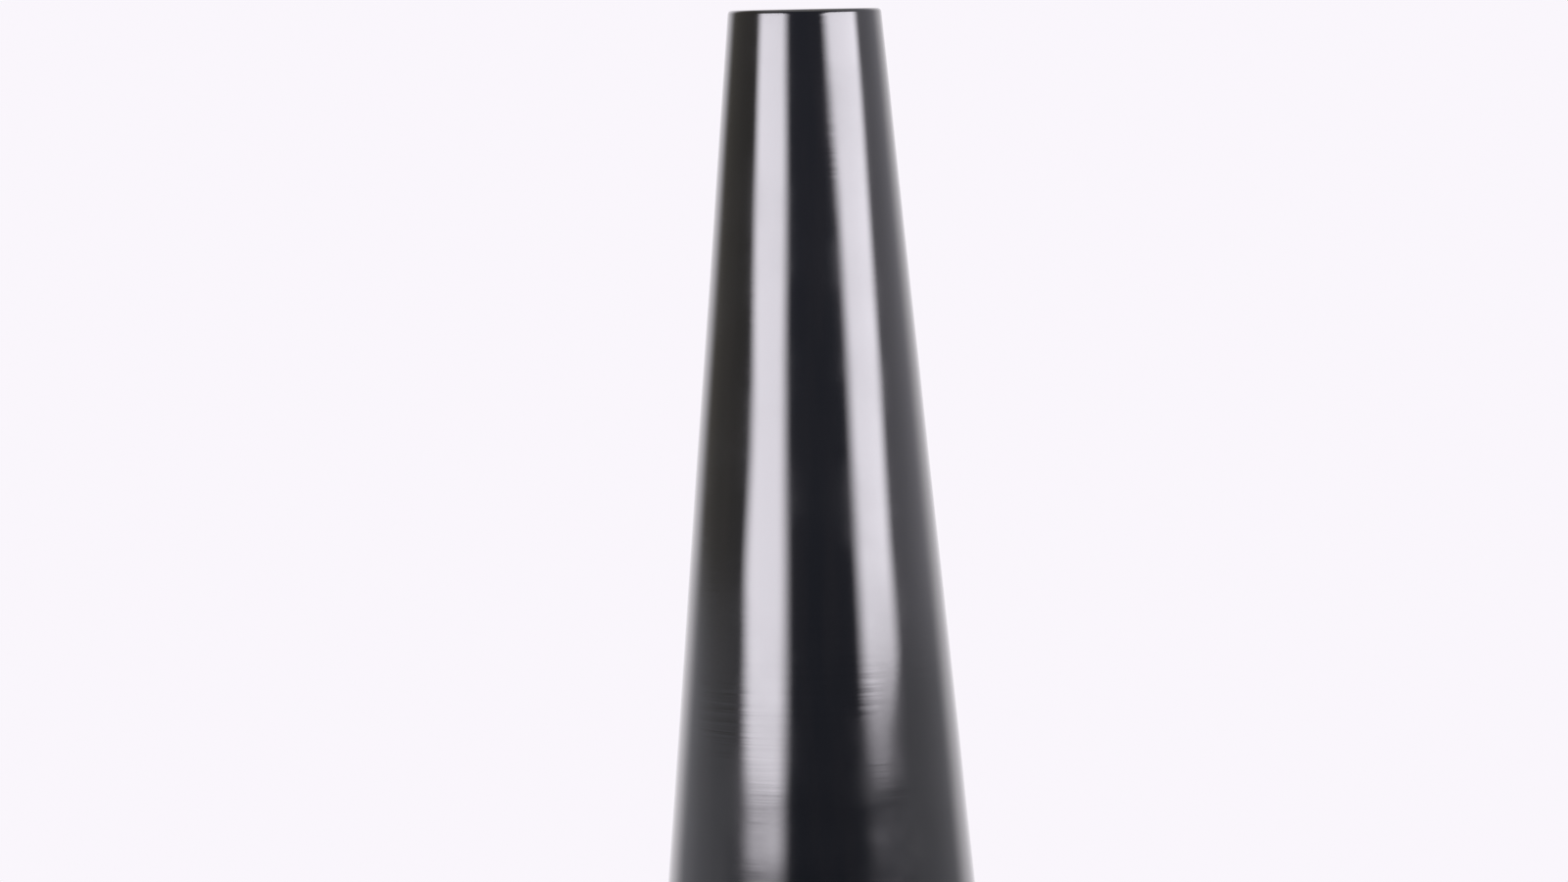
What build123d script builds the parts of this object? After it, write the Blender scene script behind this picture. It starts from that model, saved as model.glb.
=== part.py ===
from build123d import *

import math
import os

# A tall trumpet vase that stands on its bell: a narrow mouth, a long straight cone and a flared foot.
# The wooden wall is turned in short lengths that are glued on spigots and lacquered over as one.
# A screwed board on felt pads closes the foot, and a sheet-metal liner hangs in the mouth for the water.
# Millimetres, +Z up, origin on the floor under the middle of the foot.

# Outline of the vase
TOTAL_HEIGHT = 700.0
MOUTH_DIAMETER = 66.0
CONE_HALF_ANGLE = 5.1  # degrees from upright
BELL_HEIGHT = 205.0
BELL_END_ANGLE = 22.0  # degrees from upright, where the flare meets the foot
FOOT_LAND = 8.0  # upright band under the flare
FOOT_ROUND = 2.5
WALL = 7.0

# Glued joints between the turned sections
STRAIGHT_SECTIONS = ("middle_section", "upper_section", "neck_section")
SPIGOT_LENGTH = 10.0
SPIGOT_WALL_SHARE = 0.5  # share of the wall that the spigot takes
GLUE_GAP = 0.1

# Rim and the seat that the liner hangs on
RIM_LIP = 3.5
RIM_ROUND_SHARE = 0.45  # share of the lip
SEAT_DEPTH = 3.0

# Water liner
LINER_SHEET = 0.8
LINER_CLEARANCE = 1.5
FLANGE_CLEARANCE = 0.5
FLANGE_BEND_SHARE = 0.8  # share of the clearance that the bend under the flange takes
LINER_OVERHANG = 90.0  # length of tube below the guide
LINER_BASE_SKIRT = 8.0
LINER_BASE_ROUND_SHARE = 0.75  # share of the sheet
SOLDER_GAP = 0.05

# Guide ring that steadies the liner inside the wall
GUIDE_JOINT = 1  # counted from the joint on the bell, which is 0
GUIDE_THICKNESS = 8.0
GUIDE_CLEARANCE = 0.5
GUIDE_LEAD = 3.0

# Foot ring and base board
SOCKET_WALL = 4.0  # wall left round the foot ring's spigot
FOOT_RING_WEB = 4.5
LEDGE_WIDTH = 14.5
LEDGE_THICKNESS = 9.0
BOARD_THICKNESS = 9.0
BOARD_CLEARANCE = 0.2
BOARD_EDGE = 0.6

# Countersunk screws through the board
SCREW_COUNT = 6
SCREW_DIAMETER = 3.5
SCREW_HEAD_DIAMETER = 7.0
SCREW_HEAD_RIM = 0.4
SCREW_POINT = 4.0
SCREW_TIP_SHARE = 0.2  # share of the shank left at the tip
SCREW_SINK = 0.5  # how far the head lies below the board's face
SCREW_COVER = 1.5  # wood left over the tip
SCREW_PLAY = 0.1
RECESS_WIDTH = 1.0
RECESS_LENGTH = 4.2
RECESS_DEPTH = 1.4

# Felt pads under the board
PAD_COUNT = 4
PAD_DIAMETER = 24.0
PAD_THICKNESS = 3.0
PAD_EDGE = 0.6
PAD_MARGIN = 6.0  # bare board between a pad and the ring of screw heads

OVERRUN = 1.0  # how far a cut runs past the face that it opens

# Heights and radii worked out from the sizes above
cone_angle = math.radians(CONE_HALF_ANGLE)
bell_angle = math.radians(BELL_END_ANGLE)
mouth_radius = MOUTH_DIAMETER / 2
board_low = PAD_THICKNESS
board_high = board_low + BOARD_THICKNESS
bell_low = board_low + FOOT_LAND
bell_high = bell_low + BELL_HEIGHT
cone_height = TOTAL_HEIGHT - bell_high
cone_foot_radius = mouth_radius + cone_height * math.tan(cone_angle)
flare_radius = BELL_HEIGHT / (math.sin(bell_angle) - math.sin(cone_angle))
flare_centre_radius = cone_foot_radius + flare_radius * math.cos(cone_angle)
flare_centre_height = bell_high + flare_radius * math.sin(cone_angle)
bore_radius = mouth_radius - WALL / math.cos(cone_angle)


def flare_point(angle, offset=0.0):
    """Radius and height on the flare where it leans by this angle, or that far inside it."""
    reach = flare_radius + offset
    return (
        flare_centre_radius - reach * math.cos(angle),
        flare_centre_height - reach * math.sin(angle),
    )


def flare_angle(height, offset=0.0):
    """How far the flare leans at this height."""
    return math.asin((flare_centre_height - height) / (flare_radius + offset))


def outer_radius(height):
    """Radius of the vase's outside at this height above the floor."""
    if height >= bell_high:
        return mouth_radius + (TOTAL_HEIGHT - height) * math.tan(cone_angle)
    return flare_point(flare_angle(height))[0]


def joint_height(number):
    """Height of a glued joint, counted from the one on the bell."""
    return bell_high + number * cone_height / len(STRAIGHT_SECTIONS)


def spigot_radius(number):
    """Radius of the socket at a glued joint."""
    return outer_radius(joint_height(number)) - WALL * (1 - SPIGOT_WALL_SHARE)


def socket_depth(number):
    """Depth of the socket at a glued joint. The guide ring lies under the spigot at its own joint."""
    return SPIGOT_LENGTH + GLUE_GAP + (GUIDE_THICKNESS if number == GUIDE_JOINT else 0.0)


foot_radius = outer_radius(bell_low)
seat_height = TOTAL_HEIGHT - SEAT_DEPTH
seat_radius = mouth_radius - RIM_LIP
tube_radius = bore_radius - LINER_CLEARANCE
tube_bore_radius = tube_radius - LINER_SHEET
guide_low = joint_height(GUIDE_JOINT) - socket_depth(GUIDE_JOINT)
tube_low = guide_low - LINER_OVERHANG
cap_bore_radius = tube_radius + SOLDER_GAP
cap_radius = cap_bore_radius + LINER_SHEET
ledge_high = board_high + LEDGE_THICKNESS
screw_length = BOARD_THICKNESS + LEDGE_THICKNESS - SCREW_SINK - SCREW_COVER
foot_socket_radius = outer_radius(ledge_high) - SOCKET_WALL
board_seat_radius = foot_socket_radius - FOOT_RING_WEB
ledge_radius = board_seat_radius - LEDGE_WIDTH
screw_circle = board_seat_radius - LEDGE_WIDTH / 2
pad_circle = screw_circle - (SCREW_HEAD_DIAMETER + PAD_DIAMETER) / 2 - PAD_MARGIN


def drum(radius, low, high):
    """Solid cylinder on the vase's axis between two heights."""
    return Pos(0, 0, low) * Cylinder(radius, high - low, align=(Align.CENTER, Align.CENTER, Align.MIN))


def turned(*edges):
    """Solid of revolution from the edges of a closed outline of radii and heights."""
    return revolve(Plane.XZ * make_face(edges), Axis.Z)


def round_edges(solid, height):
    """The circular edges of a solid that lie at this height."""
    return solid.edges().filter_by(GeomType.CIRCLE).filter_by_position(Axis.Z, height, height)


def spread(count, radius, turn=0.0):
    """Places evenly spaced on a circle about the vase's axis, at floor level."""
    return PolarLocations(radius, count, start_angle=turn)


def wall_shell():
    """The whole wall from the foot's land to the mouth, before it is parted into sections."""
    inner_low_angle = flare_angle(bell_low, WALL)
    inner_mean_angle = (cone_angle + inner_low_angle) / 2
    outer_mean_angle = (cone_angle + bell_angle) / 2
    mouth_outside, mouth_inside = (mouth_radius, TOTAL_HEIGHT), (bore_radius, TOTAL_HEIGHT)
    outer_high, outer_low = flare_point(cone_angle), flare_point(bell_angle)
    inner_high, inner_low = flare_point(cone_angle, WALL), flare_point(inner_low_angle, WALL)
    return turned(
        Line(mouth_outside, outer_high),
        ThreePointArc(outer_high, flare_point(outer_mean_angle), outer_low),
        Line(outer_low, inner_low),
        ThreePointArc(inner_low, flare_point(inner_mean_angle, WALL), inner_high),
        Line(inner_high, mouth_inside),
        Line(mouth_inside, mouth_outside),
    )


def parted(shell, low, high):
    """The length of the shell between two heights."""
    return shell & drum(foot_radius + OVERRUN, low, high)


def with_socket(section, number):
    """A section whose head is opened to take the spigot of the section above."""
    high = joint_height(number)
    return section - drum(spigot_radius(number), high - socket_depth(number), high + OVERRUN)


def with_spigot(section, shell, number):
    """A section with the spigot under it that goes into the section below."""
    high = joint_height(number)
    return section + (shell & drum(spigot_radius(number) - GLUE_GAP, high - SPIGOT_LENGTH, high))


def bell_section(shell):
    """The flared length, with a socket below for the foot ring and one above for the cone."""
    section = with_socket(parted(shell, bell_low, bell_high), 0)
    return section - drum(foot_socket_radius, bell_low - OVERRUN, ledge_high + GLUE_GAP)


def straight_section(shell, number):
    """One length of the cone. The last one carries the rim and the liner's seat."""
    section = parted(shell, joint_height(number), joint_height(number + 1))
    section = with_spigot(section, shell, number)
    if number + 1 < len(STRAIGHT_SECTIONS):
        return with_socket(section, number + 1)
    section = section - drum(seat_radius, seat_height, TOTAL_HEIGHT + OVERRUN)
    return fillet(round_edges(section, TOTAL_HEIGHT), RIM_LIP * RIM_ROUND_SHARE)


def foot_ring():
    """The ring that the vase stands on: a land outside, a spigot for the bell and a ledge for the board."""
    ring = drum(foot_radius, board_low, bell_low)
    ring += drum(foot_socket_radius - GLUE_GAP, bell_low, ledge_high)
    ring -= drum(ledge_radius, board_low - OVERRUN, ledge_high + OVERRUN)
    ring -= drum(board_seat_radius, board_low - OVERRUN, board_high)
    outside = round_edges(ring, board_low).sort_by(SortBy.RADIUS)[-1]
    ring = fillet(outside, FOOT_ROUND)
    pilot = Cylinder(
        SCREW_DIAMETER / 2 + SCREW_PLAY,
        screw_length + SCREW_SINK + SCREW_PLAY,
        align=(Align.CENTER, Align.CENTER, Align.MIN),
    )
    return ring - [Pos(0, 0, board_low) * place * pilot for place in spread(SCREW_COUNT, screw_circle)]


def screw():
    """One countersunk wood screw, head down, with its face at height zero."""
    shank_radius = SCREW_DIAMETER / 2
    head_radius = SCREW_HEAD_DIAMETER / 2
    cone_high = SCREW_HEAD_RIM + head_radius - shank_radius
    outline = Polyline(
        (0, 0),
        (head_radius, 0),
        (head_radius, SCREW_HEAD_RIM),
        (shank_radius, cone_high),
        (shank_radius, screw_length - SCREW_POINT),
        (shank_radius * SCREW_TIP_SHARE, screw_length),
        (0, screw_length),
        close=True,
    )
    body = turned(*outline.edges())
    bar = Box(RECESS_LENGTH, RECESS_WIDTH, RECESS_DEPTH, align=(Align.CENTER, Align.CENTER, Align.MIN))
    return body - bar - Rot(0, 0, 90) * bar


def base_screws():
    """The screws, all in one node."""
    face = Pos(0, 0, board_low + SCREW_SINK)
    return Compound([face * place * screw() for place in spread(SCREW_COUNT, screw_circle)])


def base_board():
    """The disc that closes the foot, drilled and countersunk for its screws."""
    board = drum(board_seat_radius - BOARD_CLEARANCE, board_low, board_high)
    board = chamfer(round_edges(board, board_low), BOARD_EDGE)
    shank_radius = SCREW_DIAMETER / 2 + SCREW_PLAY
    head_radius = SCREW_HEAD_DIAMETER / 2 + SCREW_PLAY
    head_low = SCREW_SINK + SCREW_HEAD_RIM
    hole = Polyline(
        (0, -OVERRUN),
        (head_radius, -OVERRUN),
        (head_radius, head_low),
        (shank_radius, head_low + head_radius - shank_radius),
        (shank_radius, BOARD_THICKNESS + OVERRUN),
        (0, BOARD_THICKNESS + OVERRUN),
        close=True,
    )
    drill = turned(*hole.edges())
    return board - [Pos(0, 0, board_low) * place * drill for place in spread(SCREW_COUNT, screw_circle)]


def felt_pad():
    """One self-adhesive felt disc, on the vase's axis, with its worn face on the floor."""
    pad = drum(PAD_DIAMETER / 2, 0, PAD_THICKNESS)
    return fillet(round_edges(pad, 0), PAD_EDGE)


def liner_guide():
    """The ring inside the wall that keeps the liner upright, eased on top to lead the tube in."""
    hole_radius = cap_radius + GUIDE_CLEARANCE
    guide_high = guide_low + GUIDE_THICKNESS
    ring = drum(spigot_radius(GUIDE_JOINT) - GLUE_GAP, guide_low, guide_high)
    ring -= drum(hole_radius, guide_low - OVERRUN, guide_high + OVERRUN)
    return chamfer(round_edges(ring, guide_high).sort_by(SortBy.RADIUS)[0], GUIDE_LEAD)


def liner_tube():
    """The rolled tube, with its head turned out to a flange that hangs on the seat."""
    flange_high = seat_height + LINER_SHEET
    bend = LINER_CLEARANCE * FLANGE_BEND_SHARE
    tube = drum(tube_radius, tube_low, flange_high)
    tube += drum(seat_radius - FLANGE_CLEARANCE, seat_height, flange_high)
    tube = fillet(round_edges(tube, seat_height).sort_by(SortBy.RADIUS)[0], bend)
    tube -= drum(tube_bore_radius, tube_low - OVERRUN, flange_high + OVERRUN)
    return fillet(round_edges(tube, flange_high).sort_by(SortBy.RADIUS)[0], bend + LINER_SHEET)


def liner_base():
    """The cap that is soldered over the tube's lower end."""
    cap_low = tube_low - LINER_SHEET
    cap = drum(cap_radius, cap_low, tube_low + LINER_BASE_SKIRT)
    cap = fillet(round_edges(cap, cap_low), LINER_SHEET * LINER_BASE_ROUND_SHARE)
    return cap - drum(cap_bore_radius, tube_low, tube_low + LINER_BASE_SKIRT + OVERRUN)


def all_nodes():
    """Every piece of the vase under its name."""
    shell = wall_shell()
    nodes = {"bell_section": bell_section(shell)}
    for number, name in enumerate(STRAIGHT_SECTIONS):
        nodes[name] = straight_section(shell, number)
    nodes["foot_ring"] = foot_ring()
    nodes["base_board"] = base_board()
    nodes["base_screws"] = base_screws()
    for number, place in enumerate(spread(PAD_COUNT, pad_circle, 180 / PAD_COUNT)):
        nodes[f"felt_pad_{number + 1}"] = place * felt_pad()
    nodes["liner_guide"] = liner_guide()
    nodes["liner_tube"] = liner_tube()
    nodes["liner_base"] = liner_base()
    return nodes


os.makedirs("parts", exist_ok=True)
for node_name, shape in all_nodes().items():
    export_step(shape, os.path.join("parts", node_name + ".step"))
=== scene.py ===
import math

import bmesh
import bpy
from mathutils import Matrix, Vector, noise


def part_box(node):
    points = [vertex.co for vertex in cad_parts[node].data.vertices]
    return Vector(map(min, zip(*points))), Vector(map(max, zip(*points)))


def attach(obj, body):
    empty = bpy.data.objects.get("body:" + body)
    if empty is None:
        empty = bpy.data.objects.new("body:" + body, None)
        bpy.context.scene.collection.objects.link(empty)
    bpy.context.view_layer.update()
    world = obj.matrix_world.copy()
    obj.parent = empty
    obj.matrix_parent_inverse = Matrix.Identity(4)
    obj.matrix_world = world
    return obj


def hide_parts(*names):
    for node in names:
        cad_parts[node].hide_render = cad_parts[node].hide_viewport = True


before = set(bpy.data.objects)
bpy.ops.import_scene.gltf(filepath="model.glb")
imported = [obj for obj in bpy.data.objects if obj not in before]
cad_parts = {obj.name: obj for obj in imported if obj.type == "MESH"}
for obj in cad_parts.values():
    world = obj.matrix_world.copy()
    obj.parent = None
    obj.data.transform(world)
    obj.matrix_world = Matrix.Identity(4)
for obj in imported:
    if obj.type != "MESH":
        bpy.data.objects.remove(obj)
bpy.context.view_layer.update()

# Foot ring
# The ring that the vase stands on, turned from one blank of wood and glued up into the bell's socket.
# Its land is lacquered as one with the wall above.
# Its inside is only sealed, with a ledge for the base board.
FOOT_ROUND = 0.0025
FOOT_RING_WEB = 0.0045
LEDGE_WIDTH = 0.0145
SOCKET_WALL = 0.004
GLUE_GAP = 0.0001

foot_low, ledge_high = (corner.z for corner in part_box("foot_ring"))
bell_low, bell_high = (corner.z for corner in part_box("bell_section"))
board_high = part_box("base_board")[1].z
first_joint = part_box("middle_section")[1].z
second_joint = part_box("upper_section")[1].z
rim_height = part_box("neck_section")[1].z
foot_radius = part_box("bell_section")[1].x
bell_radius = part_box("middle_section")[1].x
first_joint_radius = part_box("upper_section")[1].x
second_joint_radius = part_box("neck_section")[1].x
cone_slope = (first_joint_radius - second_joint_radius) / (second_joint - first_joint)
cone_angle = math.atan(cone_slope)

# The flare is the arc that leaves the cone without a break and ends on the foot's land.
flare_chord = Vector((foot_radius - bell_radius, bell_low - bell_high))
flare_normal = Vector((math.cos(cone_angle), math.sin(cone_angle)))
flare_radius = flare_chord.length_squared / (2 * flare_chord.dot(flare_normal))
flare_centre = Vector((bell_radius, bell_high)) + flare_radius * flare_normal


def flare_angle(height, inside=0.0):
    """How far the flare leans at a height, or the surface that far inside it."""
    return math.asin((flare_centre.y - height) / (flare_radius + inside))


def flare_points(low, high, steps, inside=0.0):
    """Radii and heights along the flare from one height to another."""
    start, end = flare_angle(low, inside), flare_angle(high, inside)
    reach = flare_radius + inside
    leans = [start + (end - start) * step / steps for step in range(steps + 1)]
    return [
        (flare_centre.x - reach * math.cos(lean), flare_centre.y - reach * math.sin(lean))
        for lean in leans
    ]


def wall_radius(height):
    """Radius of the vase's outside at a height: the foot's land, then the flare, then the straight cone."""
    if height >= bell_high:
        return second_joint_radius - (height - second_joint) * cone_slope
    return flare_points(max(height, bell_low), bell_high, 1)[0][0]


# A hand-turned wall isn't quite true: it has broad waves, and a faint hollow where the tool paused.
# It is set back by a hair, so that its widest place stays inside the true width.
SKIN_DEPTH = 0.003
WAVE_HEIGHT = 0.00022
WAVES_PER_METRE = 11
WAVE_SET_BACK = 0.00002
HOLLOW_DEPTH = 0.00007
HOLLOW_HEIGHT = 0.354
HOLLOW_REACH = 0.02


def wall_unevenness(place):
    """How far the wall stands off its true shape at a place on its outside."""
    if place.xy.length < wall_radius(place.z) - SKIN_DEPTH:
        return 0.0
    turn = place.xy.normalized()
    wave = noise.noise(Vector((turn.x, turn.y, place.z * WAVES_PER_METRE)))
    off_hollow = min(1.0, abs(place.z - HOLLOW_HEIGHT) / HOLLOW_REACH)
    hollow = HOLLOW_DEPTH * (1 + math.cos(math.pi * off_hollow)) / 2
    return WAVE_HEIGHT * wave - WAVE_SET_BACK - hollow


TURN_STEPS = 200
ROUND_STEPS = 6
ROW_HEIGHT = 0.003
WELD = 1e-6
CRISP_ANGLE = math.radians(30)
BARE = 1
FACING_IN = -0.5


def turned(outline, rounds=(), uneven=wall_unevenness):
    """A shape turned from a closed outline of radii and heights, up the outside and down the inside.
    Rounds are corners of the outline with their radii, and uneven says how far a place stands off true."""
    bm = bmesh.new()
    points = [Vector((radius, 0, height)) for radius, height in outline]
    around = []
    for start, end in zip(points, points[1:] + points[:1]):
        rows = max(1, int((end.z - start.z) / ROW_HEIGHT))
        around += [bm.verts.new(start.lerp(end, row / rows)) for row in range(rows)]
    for start, end in zip(around, around[1:] + around[:1]):
        bm.edges.new((start, end))
    bmesh.ops.spin(
        bm, geom=bm.verts[:] + bm.edges[:], cent=(0, 0, 0), axis=(0, 0, 1), angle=math.tau,
        steps=TURN_STEPS, use_merge=True,
    )
    bmesh.ops.remove_doubles(bm, verts=bm.verts, dist=WELD)
    bmesh.ops.recalc_face_normals(bm, faces=bm.faces)
    for corner, radius in rounds:
        level = [vert for vert in bm.verts if abs(vert.co.z - corner[1]) < WELD]
        on_corner = {vert for vert in level if abs(vert.co.xy.length - corner[0]) < WELD}
        ring = {edge for vert in on_corner for edge in vert.link_edges if edge.other_vert(vert) in on_corner}
        bmesh.ops.bevel(
            bm, geom=list(ring), offset=radius, offset_type="OFFSET", affect="EDGES", segments=ROUND_STEPS,
            profile=0.5, material=-1,
        )
    for vert in bm.verts:
        radius = vert.co.xy.length
        if radius > WELD:
            grown = 1 + uneven(vert.co) / radius
            vert.co = (vert.co.x * grown, vert.co.y * grown, vert.co.z)
    return bm


def leave_bare(bm, below):
    """Gives the second finish to the faces that look towards the axis below a height."""
    for face in bm.faces:
        centre = face.calc_center_median()
        if centre.z < below and face.normal.dot(Vector((centre.x, centre.y, 0)).normalized()) < FACING_IN:
            face.material_index = BARE


def made(name, bm, *finishes):
    """The piece that a shape becomes, with smooth faces, crisp corners and its finishes."""
    mesh = bpy.data.meshes.new(name)
    bm.to_mesh(mesh)
    bm.free()
    mesh.shade_smooth()
    mesh.set_sharp_from_angle(angle=CRISP_ANGLE)
    for finish in finishes:
        mesh.materials.append(finish)
    piece = bpy.data.objects.new(name, mesh)
    bpy.context.scene.collection.objects.link(piece)
    even_shading = piece.modifiers.new("even_shading", "WEIGHTED_NORMAL")
    even_shading.keep_sharp = True
    return piece


def new_finish(name):
    """A material, its node tree and its shader."""
    material = bpy.data.materials.new(name)
    material.use_nodes = True
    return material, material.node_tree, material.node_tree.nodes["Principled BSDF"]


def place_on(tree, stretch=(1, 1, 1)):
    """The piece's own coordinates in metres, stretched along the axes."""
    where = tree.nodes.new("ShaderNodeTexCoord")
    mapping = tree.nodes.new("ShaderNodeMapping")
    mapping.inputs["Scale"].default_value = stretch
    tree.links.new(where.outputs["Object"], mapping.inputs["Vector"])
    return mapping.outputs["Vector"]


def along(tree, axis, vector):
    """A vector's part along an axis."""
    split = tree.nodes.new("ShaderNodeSeparateXYZ")
    tree.links.new(vector, split.inputs["Vector"])
    return split.outputs[axis]


def cloud(tree, scale, detail=2.0, stretch=(1, 1, 1)):
    """Cloudy noise with so many blotches a metre, finer or coarser along the axes as stretch says.
    It varies about 0.5 and lies mostly between 0.3 and 0.7."""
    texture = tree.nodes.new("ShaderNodeTexNoise")
    texture.inputs["Scale"].default_value = scale
    texture.inputs["Detail"].default_value = detail
    tree.links.new(place_on(tree, stretch), texture.inputs["Vector"])
    return texture.outputs["Fac"]


def ranged(tree, value, start, end, first=0.0, second=1.0):
    """A value that eases from the first to the second as another one goes from start to end."""
    node = tree.nodes.new("ShaderNodeMapRange")
    node.interpolation_type = "SMOOTHSTEP"
    for name, number in (("From Min", start), ("From Max", end), ("To Min", first), ("To Max", second)):
        node.inputs[name].default_value = number
    tree.links.new(value, node.inputs["Value"])
    return node.outputs["Result"]


def combined(tree, operation, first, second):
    """Two values put together by an operation. The second may be a plain number."""
    node = tree.nodes.new("ShaderNodeMath")
    node.operation = operation
    tree.links.new(first, node.inputs[0])
    if isinstance(second, (int, float)):
        node.inputs[1].default_value = second
    else:
        tree.links.new(second, node.inputs[1])
    return node.outputs["Value"]


def blended(tree, share, first, second):
    """A colour between two others, which are colours or nodes' outputs."""
    node = tree.nodes.new("ShaderNodeMix")
    node.data_type = "RGBA"
    tree.links.new(share, node.inputs["Factor"])
    for socket, colour in zip([s for s in node.inputs if s.type == "RGBA"], (first, second)):
        if isinstance(colour, tuple):
            socket.default_value = (*colour, 1)
        else:
            tree.links.new(colour, socket)
    return next(s for s in node.outputs if s.type == "RGBA")


def relief(tree, height, depth, under=None):
    """A surface raised by a pattern through so many metres, on top of an earlier relief."""
    node = tree.nodes.new("ShaderNodeBump")
    node.inputs["Distance"].default_value = depth
    tree.links.new(height, node.inputs["Height"])
    if under is not None:
        tree.links.new(under, node.inputs["Normal"])
    return node.outputs["Normal"]


LACQUER_BLACK = (0.0042, 0.005, 0.0062)
RUBBED_BLACK = (0.0064, 0.0067, 0.0076)
RUBBED_THROUGH = (0.03, 0.021, 0.014)
STREAKS_PER_METRE = (120, 120, 7)
SMUDGES_PER_METRE = 26
SMUDGE_ROUGHNESS = (0.13, 0.21)
WORN_EDGE = 0.0012
WORN_SPOTS_PER_METRE = 170
PEEL_PER_METRE = 380
PEEL_DEPTH = 0.000003
LINED_PATCHES_PER_METRE = 24
LINES_PER_METRE = (8, 8, 420)
LINE_DEPTH = 0.000018
COAT_ROUGHNESS = 0.03


def lacquer():
    """Hand-rubbed black lacquer: a clear gloss coat on black, smudged, finely lined and worn at its edges."""
    material, tree, shader = new_finish("black_lacquer")
    height = along(tree, "Z", place_on(tree))
    streaks = ranged(tree, cloud(tree, 1, 3, STREAKS_PER_METRE), 0.35, 0.7)
    smudges = ranged(tree, cloud(tree, SMUDGES_PER_METRE, 5), 0.4, 0.7, *SMUDGE_ROUGHNESS)
    rim_edge = ranged(tree, height, rim_height - WORN_EDGE, rim_height)
    foot_edge = ranged(tree, height, foot_low + WORN_EDGE, foot_low)
    rubbed = ranged(tree, cloud(tree, WORN_SPOTS_PER_METRE, 4), 0.48, 0.72)
    worn = combined(tree, "MULTIPLY", combined(tree, "MAXIMUM", rim_edge, foot_edge), rubbed)
    black = blended(tree, streaks, LACQUER_BLACK, RUBBED_BLACK)
    tree.links.new(blended(tree, worn, black, RUBBED_THROUGH), shader.inputs["Base Color"])
    tree.links.new(smudges, shader.inputs["Roughness"])
    lined = ranged(tree, cloud(tree, LINED_PATCHES_PER_METRE, 2), 0.45, 0.65)
    turning_lines = combined(tree, "MULTIPLY", cloud(tree, 1, 2, LINES_PER_METRE), lined)
    orange_peel = relief(tree, cloud(tree, PEEL_PER_METRE, 1), PEEL_DEPTH)
    skin = relief(tree, turning_lines, LINE_DEPTH, orange_peel)
    tree.links.new(skin, shader.inputs["Normal"])
    tree.links.new(skin, shader.inputs["Coat Normal"])
    shader.inputs["Coat Weight"].default_value = 1.0
    shader.inputs["Coat Roughness"].default_value = COAT_ROUGHNESS
    return material


PORES_PER_GRAIN = 6
PORE_DULLNESS = 0.08
SEALED_DARK = (0.19, 0.105, 0.052)
SEALED_LIGHT = (0.34, 0.205, 0.11)
SEALED_GRAIN = (90, 90, 4)
SEALED_ROUGHNESS = 0.55
SEALED_PORES = 0.00004


def wood(name, dark, light, stretch, roughness, pore_depth):
    """Wood with its grain drawn out along one axis, as stretch says."""
    material, tree, shader = new_finish(name)
    grain = ranged(tree, cloud(tree, 1, 4, stretch), 0.3, 0.7)
    pores = cloud(tree, PORES_PER_GRAIN, 3, stretch)
    dullness = ranged(tree, pores, 0.3, 0.7, roughness - PORE_DULLNESS, roughness + PORE_DULLNESS)
    tree.links.new(blended(tree, grain, dark, light), shader.inputs["Base Color"])
    tree.links.new(dullness, shader.inputs["Roughness"])
    tree.links.new(relief(tree, pores, pore_depth), shader.inputs["Normal"])
    return material


black_lacquer = lacquer()
sealed_wood = wood("sealed_wood", SEALED_DARK, SEALED_LIGHT, SEALED_GRAIN, SEALED_ROUGHNESS, SEALED_PORES)
foot_socket_radius = wall_radius(ledge_high) - SOCKET_WALL
board_seat_radius = foot_socket_radius - FOOT_RING_WEB
ledge_radius = board_seat_radius - LEDGE_WIDTH
foot_shape = turned([
    (board_seat_radius, foot_low),
    (foot_radius, foot_low),
    (foot_radius, bell_low),
    (foot_socket_radius - GLUE_GAP, bell_low),
    (foot_socket_radius - GLUE_GAP, ledge_high),
    (ledge_radius, ledge_high),
    (ledge_radius, board_high),
    (board_seat_radius, board_high),
], [((foot_radius, foot_low), FOOT_ROUND)])
leave_bare(foot_shape, ledge_high)
foot_ring = made("lacquered_foot_ring", foot_shape, black_lacquer, sealed_wood)
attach(foot_ring, "vase")
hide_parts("foot_ring")

# Bell section
# The flared lowest length of the wall, turned hollow from one blank of wood and lacquered with the rest.
# Its foot is bored out for the foot ring, and its head has a socket for the spigot of the length above.
WALL = 0.007
SPIGOT_LENGTH = 0.01
SPIGOT_WALL_SHARE = 0.5
FLARE_ROWS = 96
INSIDE_ROWS = 24


def socket_radius(height):
    """Radius of the socket at a glued joint."""
    return wall_radius(height) - WALL * (1 - SPIGOT_WALL_SHARE)


socket_depth = SPIGOT_LENGTH + GLUE_GAP
bell_shape = turned([
    (foot_socket_radius, bell_low),
    *flare_points(bell_low, bell_high, FLARE_ROWS),
    (socket_radius(bell_high), bell_high),
    (socket_radius(bell_high), bell_high - socket_depth),
    *flare_points(bell_high - socket_depth, ledge_high + GLUE_GAP, INSIDE_ROWS, WALL),
    (foot_socket_radius, ledge_high + GLUE_GAP),
])
leave_bare(bell_shape, bell_high)
bell = made("lacquered_bell", bell_shape, black_lacquer, sealed_wood)
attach(bell, "vase")
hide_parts("bell_section")

# Straight lengths
# The three upper lengths of the wall, each turned and bored from its own blank and glued on a spigot.
# The last one has the rim, with a seat turned inside it that the liner hangs on.
RIM_LIP = 0.0035
RIM_ROUND = 0.001575
SEAT_DEPTH = 0.003
GUIDE_THICKNESS = 0.008


def bore_radius(height):
    """Radius of the wall's inside at a height of the straight cone."""
    return wall_radius(height) - WALL / math.cos(cone_angle)


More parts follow.
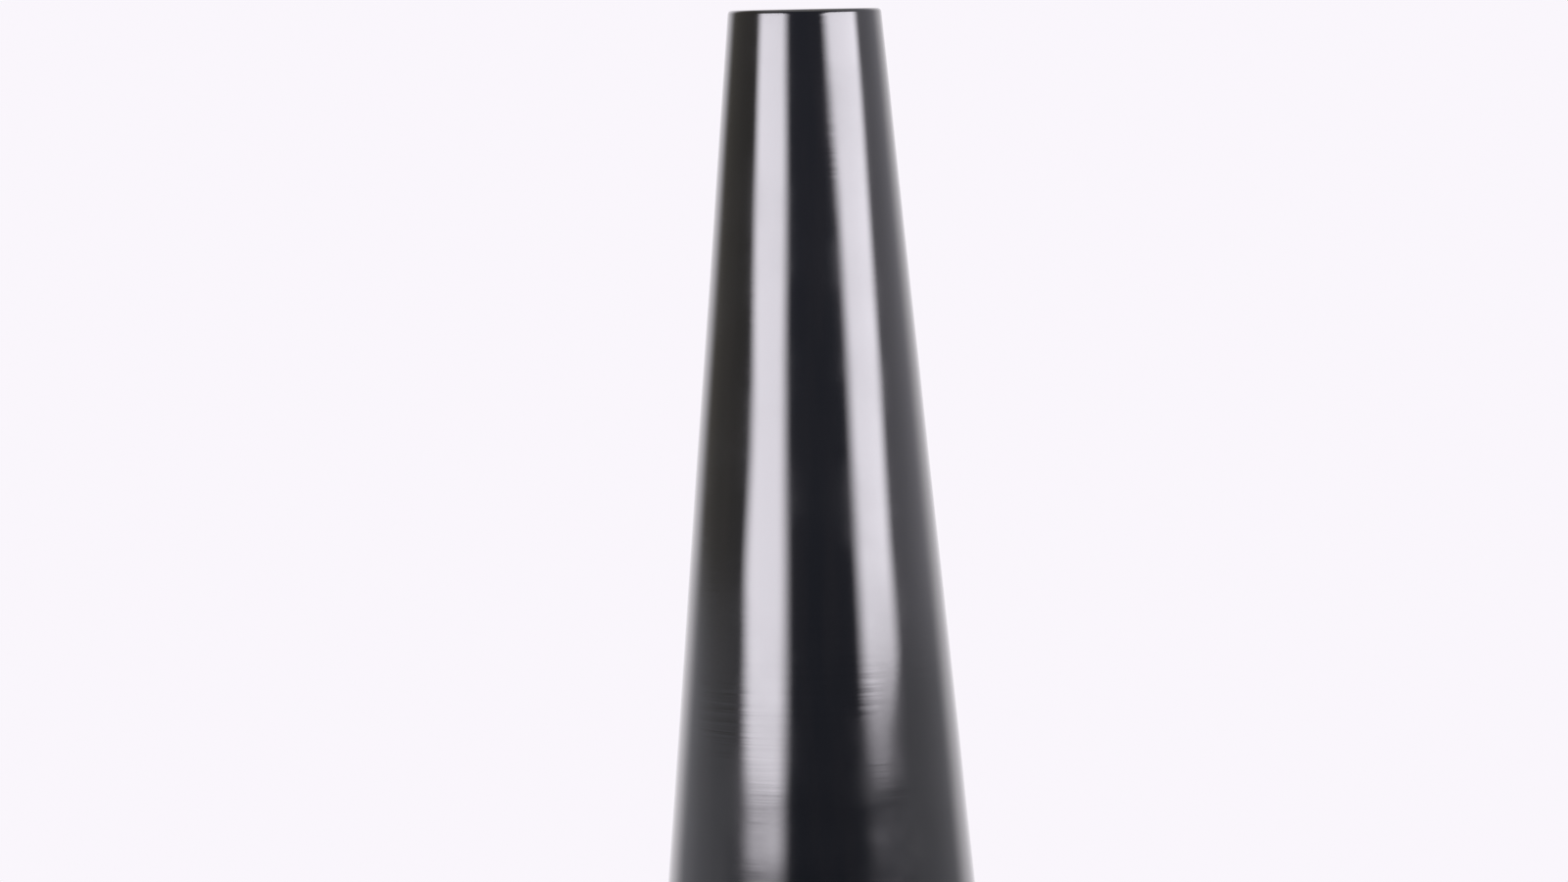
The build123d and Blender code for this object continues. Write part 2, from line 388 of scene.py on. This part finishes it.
def straight_length(low, high, head, rounds=()):
    """A length of the wall from one joint to the next, with its spigot below and the outline of its head."""
    spigot_low = low - SPIGOT_LENGTH
    spigot_radius = socket_radius(low) - GLUE_GAP
    shape = turned([
        (bore_radius(spigot_low), spigot_low),
        (spigot_radius, spigot_low),
        (spigot_radius, low),
        (wall_radius(low), low),
        (wall_radius(high), high),
        *head,
    ], rounds)
    leave_bare(shape, high - SEAT_DEPTH)
    return shape


def socket_head(high, depth):
    """Outline of a head that is bored out for the next length."""
    radius = socket_radius(high)
    return [(radius, high), (radius, high - depth), (bore_radius(high - depth), high - depth)]


mouth_radius = wall_radius(rim_height)
seat_radius = mouth_radius - RIM_LIP
seat_height = rim_height - SEAT_DEPTH
rim_head = [(seat_radius, rim_height), (seat_radius, seat_height), (bore_radius(seat_height), seat_height)]
rim_rounds = [((mouth_radius, rim_height), RIM_ROUND), ((seat_radius, rim_height), RIM_ROUND)]
guide_socket_depth = socket_depth + GUIDE_THICKNESS
lengths = {
    "middle_section": straight_length(bell_high, first_joint, socket_head(first_joint, guide_socket_depth)),
    "upper_section": straight_length(first_joint, second_joint, socket_head(second_joint, socket_depth)),
    "neck_section": straight_length(second_joint, rim_height, rim_head, rim_rounds),
}
for node, shape in lengths.items():
    length = made("lacquered_" + node, shape, black_lacquer, sealed_wood)
    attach(length, "vase")
    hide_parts(node)

# Liner guide
# A ring of bare wood, cut from a board and glued into the deep socket of the middle length.
# Its hole, eased on top, keeps the liner upright as it is lowered.
GUIDE_DARK = (0.4, 0.27, 0.155)
GUIDE_LIGHT = (0.56, 0.41, 0.26)
GUIDE_GRAIN = (5, 110, 110)
GUIDE_ROUGHNESS = 0.62
GUIDE_PORES = 0.00006
guide_wood = wood("bare_wood", GUIDE_DARK, GUIDE_LIGHT, GUIDE_GRAIN, GUIDE_ROUGHNESS, GUIDE_PORES)
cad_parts["liner_guide"].material_slots[0].material = guide_wood

# Base board
# A disc cut from board, stained dark and left matt, that closes the foot.
# It lies in the foot ring's seat and is screwed up to the ledge, so that it can be taken off again.
STAIN_DARK = (0.036, 0.025, 0.018)
STAIN_LIGHT = (0.085, 0.06, 0.044)
BOARD_GRAIN = (130, 6, 130)
BOARD_ROUGHNESS = 0.6
BOARD_PORES = 0.00008
stained_board = wood("stained_board", STAIN_DARK, STAIN_LIGHT, BOARD_GRAIN, BOARD_ROUGHNESS, BOARD_PORES)
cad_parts["base_board"].material_slots[0].material = stained_board

# Base screws
# Six countersunk steel screws with crossed recesses, driven up through the board into the ring.
# They are zinc-plated and a little tarnished, with painted shade darkening them down in the recesses.
RECESS_DEPTH = 0.0014
PLATED = (0.64, 0.6, 0.52)
TARNISHED = (0.42, 0.37, 0.29)
RECESS_PAINTED_SHADE = (0.09, 0.08, 0.07)
TARNISH_PER_METRE = 700
DULL_SPOTS_PER_METRE = 1500
PLATED_ROUGHNESS = (0.26, 0.45)
GRIT_PER_METRE = 2500
GRIT_DEPTH = 0.00001


def plated_steel(face_height):
    """Yellowish zinc plating, tarnished in patches, with painted shade darkening it down in the recess."""
    material, tree, shader = new_finish("plated_steel")
    tarnish = ranged(tree, cloud(tree, TARNISH_PER_METRE, 4), 0.42, 0.68)
    plating = blended(tree, tarnish, PLATED, TARNISHED)
    # Painted shade: the colour darkens with depth down into the crossed recess, where shade falls.
    painted_recess_shade = ranged(tree, along(tree, "Z", place_on(tree)), face_height, face_height + RECESS_DEPTH)
    tree.links.new(blended(tree, painted_recess_shade, plating, RECESS_PAINTED_SHADE), shader.inputs["Base Color"])
    dullness = ranged(tree, cloud(tree, DULL_SPOTS_PER_METRE, 3), 0.3, 0.7, *PLATED_ROUGHNESS)
    tree.links.new(dullness, shader.inputs["Roughness"])
    tree.links.new(relief(tree, cloud(tree, GRIT_PER_METRE, 2), GRIT_DEPTH), shader.inputs["Normal"])
    shader.inputs["Metallic"].default_value = 1.0
    return material


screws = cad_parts["base_screws"]
screws.material_slots[0].material = plated_steel(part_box("base_screws")[0].z)

# Felt pads
# Four self-adhesive discs punched from charcoal wool felt and stuck to the underside of the board.
# The vase's weight has pressed them a little, so their sides swell and their cut edges are fuzzy.
PAD_COUNT = 4
PAD_ROUND = 0.0006
PAD_TOP_ROUND = 0.0003
PAD_SWELL = 0.00012
FUZZ_HEIGHT = 0.00016
FUZZ_PER_METRE = 900
FELT_DARK = (0.018, 0.018, 0.02)
FELT_LIGHT = (0.07, 0.07, 0.075)
FIBRES_ALONG_X = (500, 2600, 1500)
FIBRES_ALONG_Y = (2600, 500, 1500)
FIBRE_DEPTH = 0.0002
FELT_PATCHES_PER_METRE = 300
FELT_ROUGHNESS = (0.88, 1.0)
FELT_SHEEN = 0.35
FELT_SHEEN_ROUGHNESS = 0.6
SWELL_STEEPNESS = 8


def felt():
    """Pressed wool: matted fibres of several greys that lie in all directions."""
    material, tree, shader = new_finish("felt")
    fibres = combined(
        tree, "MAXIMUM", cloud(tree, 1, 3, FIBRES_ALONG_X), cloud(tree, 1, 3, FIBRES_ALONG_Y)
    )
    wool = blended(tree, ranged(tree, fibres, 0.42, 0.75), FELT_DARK, FELT_LIGHT)
    dullness = ranged(tree, cloud(tree, FELT_PATCHES_PER_METRE), 0.3, 0.7, *FELT_ROUGHNESS)
    tree.links.new(wool, shader.inputs["Base Color"])
    tree.links.new(dullness, shader.inputs["Roughness"])
    tree.links.new(relief(tree, fibres, FIBRE_DEPTH), shader.inputs["Normal"])
    shader.inputs["Sheen Weight"].default_value = FELT_SHEEN
    shader.inputs["Sheen Roughness"].default_value = FELT_SHEEN_ROUGHNESS
    return material


def pad_shape(centre, radius, thickness):
    """A pressed felt disc that stands on the floor with its middle over a place."""

    def swollen(place):
        """How far the pad's side swells out, with its fuzz."""
        edge_share = (place.xy.length / radius) ** SWELL_STEEPNESS
        swell = PAD_SWELL * math.sin(math.pi * place.z / thickness)
        return edge_share * (swell + FUZZ_HEIGHT * noise.noise((place + centre) * FUZZ_PER_METRE))

    bm = turned(
        [(0, 0), (radius, 0), (radius, thickness), (0, thickness)],
        [((radius, 0), PAD_ROUND), ((radius, thickness), PAD_TOP_ROUND)],
        swollen,
    )
    bmesh.ops.translate(bm, verts=bm.verts, vec=centre)
    return bm


pressed_felt = felt()
for number in range(1, PAD_COUNT + 1):
    node = f"felt_pad_{number}"
    low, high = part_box(node)
    middle = Vector(((low.x + high.x) / 2, (low.y + high.y) / 2, 0))
    pad = made(f"pressed_pad_{number}", pad_shape(middle, (high.x - low.x) / 2, high.z - low.z), pressed_felt)
    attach(pad, "vase")
    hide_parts(node)

# Liner tube
# A sheet of zinc-coated steel, rolled to a tube and soldered along a lap.
# Its head is turned out to a flange, by which it hangs loose in the seat under the rim.
# It holds the water, and lifts out to be filled and emptied.
LINER_SHEET = 0.0008
SOLDER_GAP = 0.00005
FLANGE_BEND = 0.0012
SHEET_EDGE = 0.0002
LAP_TURN = math.radians(120)
LAP_RISE = math.radians(16)
LAP_FADE = 0.012
DENT_HEIGHT = 0.00008
DENTS_PER_METRE = 28
ZINC_DULL = (0.42, 0.44, 0.46)
ZINC_BRIGHT = (0.57, 0.59, 0.61)
WATER_MARK = (0.72, 0.72, 0.7)
WATER_MARK_DROP = 0.04
WATER_MARK_WIDTH = 0.012
WATER_MARK_RAGS_PER_METRE = 60
SPANGLES_PER_METRE = 240
SPANGLE_STRETCH = (1, 1, 0.7)
FROST_PER_METRE = 700
ZINC_ROUGHNESS = (0.5, 0.64)
SCRATCHES_PER_METRE = (900, 900, 30)
SCRATCH_DEPTH = 0.000012

cap_low, cap_high = (corner.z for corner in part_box("liner_base"))
tube_low, flange_high = (corner.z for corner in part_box("liner_tube"))
flange_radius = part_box("liner_tube")[1].x
flange_low = flange_high - LINER_SHEET
cap_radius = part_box("liner_base")[1].x
tube_radius = cap_radius - LINER_SHEET - SOLDER_GAP
tube_bore_radius = tube_radius - LINER_SHEET


def sheet_unevenness(place):
    """How far the rolled sheet stands off a true tube, by its dents and by the lap of its edges."""
    if place.z > flange_low - FLANGE_BEND or place.z < cap_high:
        return 0.0
    ends = min(1.0, (flange_low - FLANGE_BEND - place.z) / LAP_FADE, (place.z - cap_high) / LAP_FADE)
    turn = place.xy.normalized()
    dent = DENT_HEIGHT * noise.noise(Vector((turn.x, turn.y, place.z * DENTS_PER_METRE)))
    past_edge = (math.atan2(place.y, place.x) - LAP_TURN) % math.tau
    on_lap = place.xy.length > (tube_radius + tube_bore_radius) / 2 and past_edge < LAP_RISE
    lap = LINER_SHEET * math.cos(past_edge / LAP_RISE * math.pi / 2) ** 2 if on_lap else 0.0
    return ends * (dent + lap)


def zinc():
    """Dull zinc with its frosty crystals, and the mark that standing water leaves inside a vase."""
    material, tree, shader = new_finish("zinc_sheet")
    crystals = tree.nodes.new("ShaderNodeTexVoronoi")
    crystals.inputs["Scale"].default_value = SPANGLES_PER_METRE
    tree.links.new(place_on(tree, SPANGLE_STRETCH), crystals.inputs["Vector"])
    crystal = along(tree, "X", crystals.outputs["Color"])
    both = combined(tree, "ADD", crystal, cloud(tree, FROST_PER_METRE, 4))
    frost = combined(tree, "MULTIPLY", both, 0.5)
    metal = blended(tree, ranged(tree, frost, 0.1, 0.9), ZINC_DULL, ZINC_BRIGHT)
    across = tree.nodes.new("ShaderNodeVectorMath")
    across.operation = "LENGTH"
    tree.links.new(place_on(tree, (1, 1, 0)), across.inputs[0])
    inside = ranged(tree, across.outputs["Value"], tube_radius, tube_bore_radius)
    height = along(tree, "Z", place_on(tree))
    rags = combined(tree, "MULTIPLY", cloud(tree, WATER_MARK_RAGS_PER_METRE, 4), WATER_MARK_WIDTH)
    ragged = combined(tree, "ADD", height, rags)
    water_line = rim_height - WATER_MARK_DROP
    below = ranged(tree, ragged, water_line + WATER_MARK_WIDTH, water_line)
    above = ranged(tree, ragged, water_line - WATER_MARK_WIDTH, water_line)
    mark = combined(tree, "MULTIPLY", combined(tree, "MULTIPLY", below, above), inside)
    tree.links.new(blended(tree, mark, metal, WATER_MARK), shader.inputs["Base Color"])
    tree.links.new(ranged(tree, frost, 0.1, 0.9, *ZINC_ROUGHNESS), shader.inputs["Roughness"])
    scratches = cloud(tree, 1, 2, SCRATCHES_PER_METRE)
    tree.links.new(relief(tree, scratches, SCRATCH_DEPTH), shader.inputs["Normal"])
    shader.inputs["Metallic"].default_value = 1.0
    return material


zinc_sheet = zinc()
tube_shape = turned([
    (tube_bore_radius, tube_low),
    (tube_radius, tube_low),
    (tube_radius, flange_low),
    (flange_radius, flange_low),
    (flange_radius, flange_high),
    (tube_bore_radius, flange_high),
], [
    ((tube_radius, flange_low), FLANGE_BEND),
    ((tube_bore_radius, flange_high), FLANGE_BEND + LINER_SHEET),
    ((flange_radius, flange_low), SHEET_EDGE),
    ((flange_radius, flange_high), SHEET_EDGE),
], sheet_unevenness)
liner_tube = made("rolled_liner_tube", tube_shape, zinc_sheet)
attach(liner_tube, "liner")
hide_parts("liner_tube")

# Liner base
# A cap pressed from the same sheet, pushed over the tube's lower end and soldered round its upper edge.
# The solder has run to an uneven bead against the tube.
CAP_ROUND = 0.0006
BEAD_HEIGHT = 0.0014
BEAD_HOLLOW_SHARE = 0.35
BEAD_UNEVEN = 0.00018
BEADS_PER_METRE = 160
SOLDER_GREY = (0.5, 0.5, 0.49)
SOLDER_BRIGHT = (0.68, 0.68, 0.66)
SOLDER_ROUGHNESS = (0.2, 0.5)
FLUX_PER_METRE = 240
LUMPS_PER_METRE = 500
LUMP_DEPTH = 0.00008
SOLDERED = 1


def bead_unevenness(place):
    """How far the solder bead stands out or in, as it ran under the iron."""
    if place.z < cap_high or place.xy.length < tube_radius + SOLDER_GAP:
        return 0.0
    return BEAD_UNEVEN * noise.noise(place * BEADS_PER_METRE)


def solder():
    """Tin solder, bright where it flowed and grey where the flux lay."""
    material, tree, shader = new_finish("solder")
    flux = ranged(tree, cloud(tree, FLUX_PER_METRE, 4), 0.4, 0.7)
    tree.links.new(blended(tree, flux, SOLDER_BRIGHT, SOLDER_GREY), shader.inputs["Base Color"])
    tree.links.new(ranged(tree, flux, 0, 1, *SOLDER_ROUGHNESS), shader.inputs["Roughness"])
    tree.links.new(relief(tree, cloud(tree, LUMPS_PER_METRE, 3), LUMP_DEPTH), shader.inputs["Normal"])
    shader.inputs["Metallic"].default_value = 1.0
    return material


bead_middle = tube_radius + (cap_radius - tube_radius) * BEAD_HOLLOW_SHARE
cap_shape = turned([
    (0, cap_low),
    (cap_radius, cap_low),
    (cap_radius, cap_high),
    (bead_middle, cap_high + BEAD_HEIGHT * BEAD_HOLLOW_SHARE),
    (tube_radius, cap_high + BEAD_HEIGHT),
    (tube_radius, cap_high),
    (cap_radius - LINER_SHEET, cap_high),
    (cap_radius - LINER_SHEET, tube_low),
    (0, tube_low),
], [((cap_radius, cap_low), CAP_ROUND)], bead_unevenness)
for face in cap_shape.faces:
    if face.calc_center_median().z > cap_high:
        face.material_index = SOLDERED
liner_base = made("soldered_liner_base", cap_shape, zinc_sheet, solder())
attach(liner_base, "liner")
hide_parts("liner_base")

# Floor
# A pale studio floor that fades out into the backdrop and keeps the vase's shadow.
# The camera alone sees it lifted towards white, so that it sends no more light up to the vase.
# From below it is clear, so that the underside shows.
FLOOR_REACH = 1.1
FLOOR_FADE = 0.35
FLOOR_DROP = 0.0001
FLOOR_PALE = (0.6, 0.584, 0.607)
FLOOR_GREY = (0.565, 0.55, 0.572)
FLOOR_LIFT = (0.36, 0.348, 0.367)
FLOOR_SIDES = 96
FLOOR_BLOTCHES_PER_METRE = 5
FLOOR_ROUGHNESS = 0.8
FLOOR_GLOSS = 0.2
bm = bmesh.new()
bmesh.ops.create_circle(bm, cap_ends=True, segments=FLOOR_SIDES, radius=FLOOR_REACH)
bmesh.ops.translate(bm, verts=bm.verts, vec=(0, 0, -FLOOR_DROP))
floor_mesh = bpy.data.meshes.new("floor")
bm.to_mesh(floor_mesh)
bm.free()
floor = bpy.data.objects.new("floor", floor_mesh)
bpy.context.scene.collection.objects.link(floor)
floor_finish, tree, shader = new_finish("floor")
blotches = cloud(tree, FLOOR_BLOTCHES_PER_METRE, 4)
tree.links.new(blended(tree, blotches, FLOOR_PALE, FLOOR_GREY), shader.inputs["Base Color"])
shader.inputs["Roughness"].default_value = FLOOR_ROUGHNESS
shader.inputs["Specular IOR Level"].default_value = FLOOR_GLOSS
ray = tree.nodes.new("ShaderNodeLightPath")
shader.inputs["Emission Color"].default_value = (*FLOOR_LIFT, 1)
tree.links.new(ray.outputs["Is Camera Ray"], shader.inputs["Emission Strength"])
reach = tree.nodes.new("ShaderNodeVectorMath")
reach.operation = "LENGTH"
tree.links.new(place_on(tree), reach.inputs[0])
faded = ranged(tree, reach.outputs["Value"], FLOOR_FADE, FLOOR_REACH)
underside = tree.nodes.new("ShaderNodeNewGeometry")
gone = combined(tree, "MAXIMUM", faded, underside.outputs["Backfacing"])
clear = tree.nodes.new("ShaderNodeBsdfTransparent")
shown = tree.nodes.new("ShaderNodeMixShader")
tree.links.new(gone, shown.inputs["Fac"])
tree.links.new(shader.outputs["BSDF"], shown.inputs[1])
tree.links.new(clear.outputs["BSDF"], shown.inputs[2])
tree.links.new(shown.outputs["Shader"], tree.nodes["Material Output"].inputs["Surface"])
floor_finish.cycles.emission_sampling = "NONE"
floor_mesh.materials.append(floor_finish)
floor.visible_shadow = False

# Softboxes
# Two tall soft lamps, one at either side of the camera, that show as the two stripes in the gloss.
# Their cloth fronts glow evenly, fade out at the foot and have soft edges that slant with height.
BOX_DISTANCE = 1.6
BOX_TOP = 1.06
BOX_COLOUR = (1.0, 0.96, 1.04)
BOX_RADIANCE = 8.7
BOX_SOFT_EDGE = 0.25
LEFT_BOX_TURN = -46.7
LEFT_BOX_REACH = 1.0
LEFT_BOX_FOOT = (0.3, 0.475)
LEFT_BOX_OUTSIDE = ((0.36, 0.53, -0.3, -0.56), (0.55, 0.63, 0.0, 0.09), (0.68, 0.81, 0.0, -0.2))
LEFT_BOX_INSIDE = ((0.33, 0.51, 0.46, 0.56), (0.92, 1.02, 0.0, 0.04))
RIGHT_BOX_TURN = 54.8
RIGHT_BOX_REACH = 1.2
RIGHT_BOX_FOOT = (0.385, 0.535)
RIGHT_BOX_INSIDE = ((0.4, 0.49, -0.15, -0.46), (0.84, 1.04, 0.0, -0.4))
RIGHT_BOX_OUTSIDE = ((0.41, 0.465, 0.05, 0.49), (0.56, 0.84, 0.0, 0.25))


def ranged_straight(tree, value, start, end, first, second):
    """A value that goes evenly from the first to the second as another one goes from start to end."""
    result = ranged(tree, value, start, end, first, second)
    result.node.interpolation_type = "LINEAR"
    return result


def softbox(name, azimuth, reach, foot, left_edge, right_edge):
    """A lamp that faces the vase from an azimuth about its axis, 0 at the camera and positive to the right.
    The foot holds the heights where its glow starts and is full. An edge is the sum of its slants,
    each of which holds two heights and its place at each."""
    low, high = foot[0], BOX_TOP
    data = bpy.data.lights.new(name, "AREA")
    data.shape = "RECTANGLE"
    data.size, data.size_y = 2 * reach, high - low
    data.energy = BOX_RADIANCE * math.pi * data.size * data.size_y
    data.color = BOX_COLOUR
    data.use_nodes = True
    tree = data.node_tree
    where = tree.nodes.new("ShaderNodeNewGeometry").outputs["Parametric"]
    across = ranged_straight(tree, along(tree, "X", where), 0, 1, -reach, reach)
    upward = ranged_straight(tree, along(tree, "Y", where), 0, 1, low, high)
    glow = ranged(tree, upward, *foot)
    for side, slants in ((1, left_edge), (-1, right_edge)):
        inside = across
        for slant in slants:
            inside = combined(tree, "SUBTRACT", inside, ranged_straight(tree, upward, *slant))
        soft = ranged(tree, inside, -side * BOX_SOFT_EDGE, side * BOX_SOFT_EDGE)
        glow = combined(tree, "MULTIPLY", glow, soft)
    tree.links.new(glow, tree.nodes["Emission"].inputs["Strength"])
    lamp = bpy.data.objects.new(name, data)
    bpy.context.scene.collection.objects.link(lamp)
    turn = math.radians(azimuth)
    place = Vector((math.sin(turn), -math.cos(turn), 0)) * BOX_DISTANCE
    facing = (-place).to_track_quat("-Z", "Y").to_matrix().to_4x4()
    lamp.matrix_world = Matrix.Translation(place + Vector((0, 0, (low + high) / 2))) @ facing
    lamp.visible_camera = False


softbox("left_softbox", LEFT_BOX_TURN, LEFT_BOX_REACH, LEFT_BOX_FOOT, LEFT_BOX_OUTSIDE, LEFT_BOX_INSIDE)
softbox("right_softbox", RIGHT_BOX_TURN, RIGHT_BOX_REACH, RIGHT_BOX_FOOT, RIGHT_BOX_INSIDE, RIGHT_BOX_OUTSIDE)

# Room
# The studio that the gloss mirrors: a pale sweep behind the vase, a bright wall at its right, a dim one
# at its left, the dark room in front and a bright ceiling. Other surfaces get a plain fill in its place.
# The camera sees the pale backdrop all round.
LEFT_WALL = (0.21, 0.191, 0.166)
RIGHT_WALL = (0.652, 0.629, 0.699)
FRONT_LOW = (0.009, 0.014, 0.025)
FRONT_HIGH = (0.132, 0.132, 0.171)
LEFT_FLOOR = (0.512, 0.505, 0.551)
RIGHT_FLOOR = (0.443, 0.435, 0.474)
CEILING = (0.95, 0.93, 0.95)
BACKDROP = (0.955, 0.922, 0.973)
FILL_LEVEL = (0.1, 0.098, 0.102)
FILL_ABOVE = (0.4, 0.39, 0.41)
FILL_BELOW = (0.72, 0.7, 0.73)
SIDE_FADE = (-0.35, 0.35)
FLOOR_LINE = (0.028, -0.004)
FLOOR_LINE_SLOPE = 0.0575
FRONT_RISE = (-0.08, 0.18)
FRONT_FADE = (-0.1, -0.75)
SWEEP_FADE = (0.53, 0.81)
SWEEP_SLOPE = 0.055
CEILING_FADE = (0.7, 0.9)
FILL_ABOVE_FADE = (0.2, 0.7)
FILL_BELOW_FADE = (-0.5, -0.9)
world = bpy.data.worlds.new("studio")
bpy.context.scene.world = world
world.use_nodes = True
tree = world.node_tree
direction = tree.nodes.new("ShaderNodeTexCoord").outputs["Generated"]
rightward, backward, upward = (along(tree, axis, direction) for axis in "XYZ")
side = ranged(tree, rightward, *SIDE_FADE)
walls = blended(tree, side, LEFT_WALL, RIGHT_WALL)
floors = blended(tree, side, LEFT_FLOOR, RIGHT_FLOOR)
over_floor = combined(tree, "ADD", upward, combined(tree, "MULTIPLY", backward, FLOOR_LINE_SLOPE))
sides = blended(tree, ranged(tree, over_floor, *FLOOR_LINE), walls, floors)
front = blended(tree, ranged(tree, upward, *FRONT_RISE), FRONT_LOW, FRONT_HIGH)
around = blended(tree, ranged(tree, backward, *FRONT_FADE), sides, front)
behind = combined(tree, "ADD", backward, combined(tree, "MULTIPLY", rightward, SWEEP_SLOPE))
around = blended(tree, ranged(tree, behind, *SWEEP_FADE), around, BACKDROP)
room = blended(tree, ranged(tree, upward, *CEILING_FADE), around, CEILING)
fill = blended(tree, ranged(tree, upward, *FILL_ABOVE_FADE), FILL_LEVEL, FILL_ABOVE)
fill = blended(tree, ranged(tree, upward, *FILL_BELOW_FADE), fill, FILL_BELOW)
ray = tree.nodes.new("ShaderNodeLightPath")
room_light = tree.nodes["Background"]
tree.links.new(blended(tree, ray.outputs["Is Glossy Ray"], fill, room), room_light.inputs["Color"])
backdrop = tree.nodes.new("ShaderNodeBackground")
backdrop.inputs["Color"].default_value = (*BACKDROP, 1)
straight_on = combined(tree, "MAXIMUM", ray.outputs["Is Camera Ray"], ray.outputs["Is Transmission Ray"])
shown = tree.nodes.new("ShaderNodeMixShader")
tree.links.new(straight_on, shown.inputs["Fac"])
tree.links.new(room_light.outputs["Background"], shown.inputs[1])
tree.links.new(backdrop.outputs["Background"], shown.inputs[2])
tree.links.new(shown.outputs["Shader"], tree.nodes["World Output"].inputs["Surface"])

# Camera
# It stands level with the rim, a little left of the vase, and is turned by a degree on its own axis.
# The rim and the vase's axis are placed by their pixels in a frame of 1600 by 900.
FRAME_WIDTH, FRAME_HEIGHT = 1600, 900
RIM_ROW = 11
AXIS_COLUMN = 829.4
METRES_PER_PIXEL = 0.000424
CAMERA_DISTANCE = 2.5
ROLL = math.radians(-1.15)
aim_height = rim_height - (FRAME_HEIGHT / 2 - RIM_ROW) * METRES_PER_PIXEL
aim = Vector(((FRAME_WIDTH / 2 - AXIS_COLUMN) * METRES_PER_PIXEL, 0, aim_height))
eye = Vector((aim.x, -CAMERA_DISTANCE, rim_height))
camera_data = bpy.data.cameras.new("camera")
camera_data.lens = camera_data.sensor_width * (aim - eye).length / (FRAME_WIDTH * METRES_PER_PIXEL)
camera = bpy.data.objects.new("camera", camera_data)
bpy.context.scene.collection.objects.link(camera)
looking = (aim - eye).to_track_quat("-Z", "Y").to_matrix().to_4x4()
camera.matrix_world = Matrix.Translation(eye) @ looking @ Matrix.Rotation(ROLL, 4, "Z")
bpy.context.scene.camera = camera
bpy.context.scene.view_settings.view_transform = "Standard"
